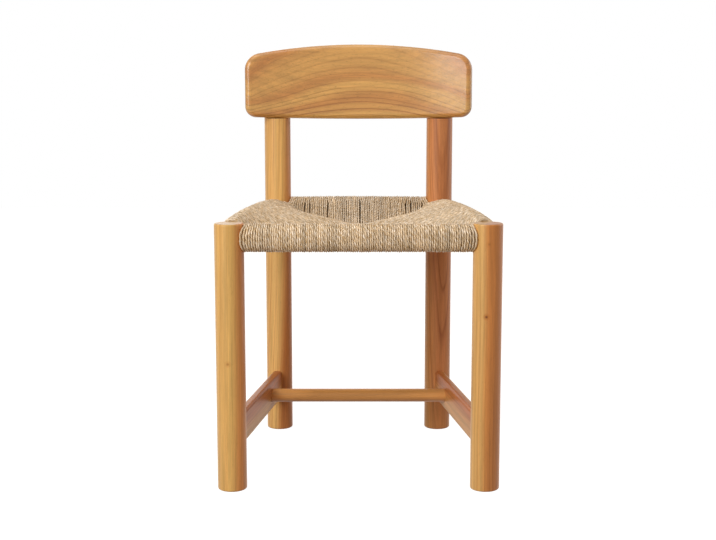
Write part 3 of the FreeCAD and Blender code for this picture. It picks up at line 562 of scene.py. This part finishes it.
def acrossPanel(name, panel, legX, facing):
    # front or rear panel: strands run front to back and end on the two seams that leave its legs
    places = strandPlaces(2 * legX)
    across = legX - np.abs(places)
    level = np.full(len(places), railMiddle)
    pads = panel["pad"] * (1 - rush["padCrown"] * (places / places[-1]) ** 2)

    def toSpace(u, z, w):
        return w, facing * (legY - u), z

    return weave(name, panel, places, seamSlope * across, seamHeight(across), level, pads, toSpace,
                 across - legRadius, over=False, flip=facing > 0)


def sidePanel(name, panel, side):
    # left or right panel: strands run from side to side, over a slanting arched rail, and end on the front seam,
    # the ridge or the rear seam
    places = strandPlaces(2 * legY)
    share = 0.5 + places / (2 * legY)
    front, rear = (places + legY) / seamSlope, (legY - places) / seamSlope
    inner = np.minimum(np.minimum(front - frontX, rear - rearX), -rush["ridgeGap"] / 2)
    seam = (inner + frontX - sideSlope * (places + legY)) / sideStretch
    tops = seamHeight(np.minimum(front, rear))
    middles = (rush["sideFront"] + share * (rush["sideRear"] - rush["sideFront"])
               + 4 * share * (1 - share) * rush["sideCrown"])

    def toSpace(u, z, w):
        return side * (frontX - sideSlope * (w + legY) - u * sideStretch), w, z

    nearLeg = legY - np.abs(places) - legRadius
    pads = panel["pad"] * (1 - np.exp(-nearLeg / rush["padRun"]))
    return weave(name, panel, places, seam, tops, middles, pads, toSpace, nearLeg, over=True, flip=side < 0)


cordMaterial = rushCord()
woven = [acrossPanel("front_rush_weave", panels["front"], frontX, -1),
         acrossPanel("rear_rush_weave", panels["rear"], rearX, 1),
         sidePanel("left_rush_weave", panels["left"], -1),
         sidePanel("right_rush_weave", panels["right"], 1)]
for piece in woven:
    piece.data.materials.append(cordMaterial)
    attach(piece, "root")
    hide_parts(piece.name.replace("_weave", ""))
print("seat woven")


# floor, light and camera

stage = dict(
    floorSize=8.0,
    floorWhite=0.95,         # share of the floor that is white for the camera whatever the shadow
    floorGrey=0.3,           # the rest, which takes the shadow
    floorBounce="#8e7b64",   # what the floor sends back to the chair
    ambient=0.34,
    warm="#ffdab4",          # colour of the light that comes from the room
)


def seenDirectly(tree):
    # 1 for what the camera sees, also in gloss or through glass, and 0 for other light
    path = add(tree, "LightPath")
    seen = add(tree, "Math", {"operation": "MAXIMUM"},
               {0: path.outputs["Is Camera Ray"], 1: path.outputs["Is Glossy Ray"]})
    return add(tree, "Math", {"operation": "MAXIMUM"}, {0: seen, 1: path.outputs["Is Transmission Ray"]})


def whiteFloor():
    # white for the camera and in gloss, with the shadow kept, and a duller, warmer bounce for other light
    material = bpy.data.materials.new("white_floor")
    material.use_nodes = True
    tree = material.node_tree
    tree.nodes.clear()
    glow = add(tree, "Emission", inputs={"Color": linear("#ffffff"), "Strength": stage["floorWhite"]})
    paper = add(tree, "BsdfDiffuse", inputs={"Color": (*[stage["floorGrey"]] * 3, 1)})
    both = add(tree, "AddShader", inputs={0: glow, 1: paper})
    bounce = add(tree, "BsdfDiffuse", inputs={"Color": linear(stage["floorBounce"])})
    choice = add(tree, "MixShader", inputs={0: seenDirectly(tree), 1: bounce, 2: both})
    add(tree, "OutputMaterial", inputs={"Surface": choice})
    return material


reach = stage["floorSize"] / 2
floorMesh = bpy.data.meshes.new("floor")
floorMesh.from_pydata([(-reach, -reach, 0), (reach, -reach, 0), (reach, reach, 0), (-reach, reach, 0)], [],
                      [(0, 1, 2, 3)])
floorMesh.materials.append(whiteFloor())
floor = bpy.data.objects.new("floor", floorMesh)
bpy.context.scene.collection.objects.link(floor)

world = bpy.data.worlds.new("white_room")
bpy.context.scene.world = world
world.use_nodes = True
tree = world.node_tree
tree.nodes.clear()
shown = seenDirectly(tree)
strength = add(tree, "MapRange", inputs={"Value": shown, 3: stage["ambient"], 4: 1.0})
colour = add(tree, "Mix", {"data_type": "RGBA"}, {0: shown, 6: linear(stage["warm"]), 7: linear("#ffffff")})
sky = add(tree, "Background", inputs={"Color": colour.outputs[2], "Strength": strength})
add(tree, "OutputWorld", inputs={"Surface": sky})

aim = Vector((0, 0, 0.45))   # the middle of the chair
lamps = dict(
    key=dict(at=(-1.73, -2.26, 1.45), size=(1.5, 1.8), power=62),
    top=dict(at=(-0.3, -0.4, 2.6), size=(1.6, 1.6), power=13),
    side=dict(at=(2.4, 0.75, 1.15), size=(1.8, 1.8), power=21),
    back=dict(at=(-0.6, 2.7, 1.3), size=(1.8, 1.8), power=10),
)
for name, lamp in lamps.items():
    light = bpy.data.lights.new(name, "AREA")
    light.shape = "RECTANGLE"
    light.size, light.size_y = lamp["size"]
    light.energy = lamp["power"]
    holder = bpy.data.objects.new(name, light)
    holder.location = lamp["at"]
    holder.rotation_euler = (aim - Vector(lamp["at"])).to_track_quat("-Z", "Y").to_euler()
    bpy.context.scene.collection.objects.link(holder)

view = dict(at=(-0.0009, -2.5, 0.748), down=9.09, lens=69.9)   # degrees and millimetres
camera = bpy.data.cameras.new("camera")
camera.lens = view["lens"]
camera.sensor_width = 36
eye = bpy.data.objects.new("camera", camera)
eye.location = view["at"]
eye.rotation_euler = (math.radians(90 - view["down"]), 0, 0)
bpy.context.scene.collection.objects.link(eye)
bpy.context.scene.camera = eye
bpy.context.scene.view_settings.view_transform = "Standard"
print("stage lit")
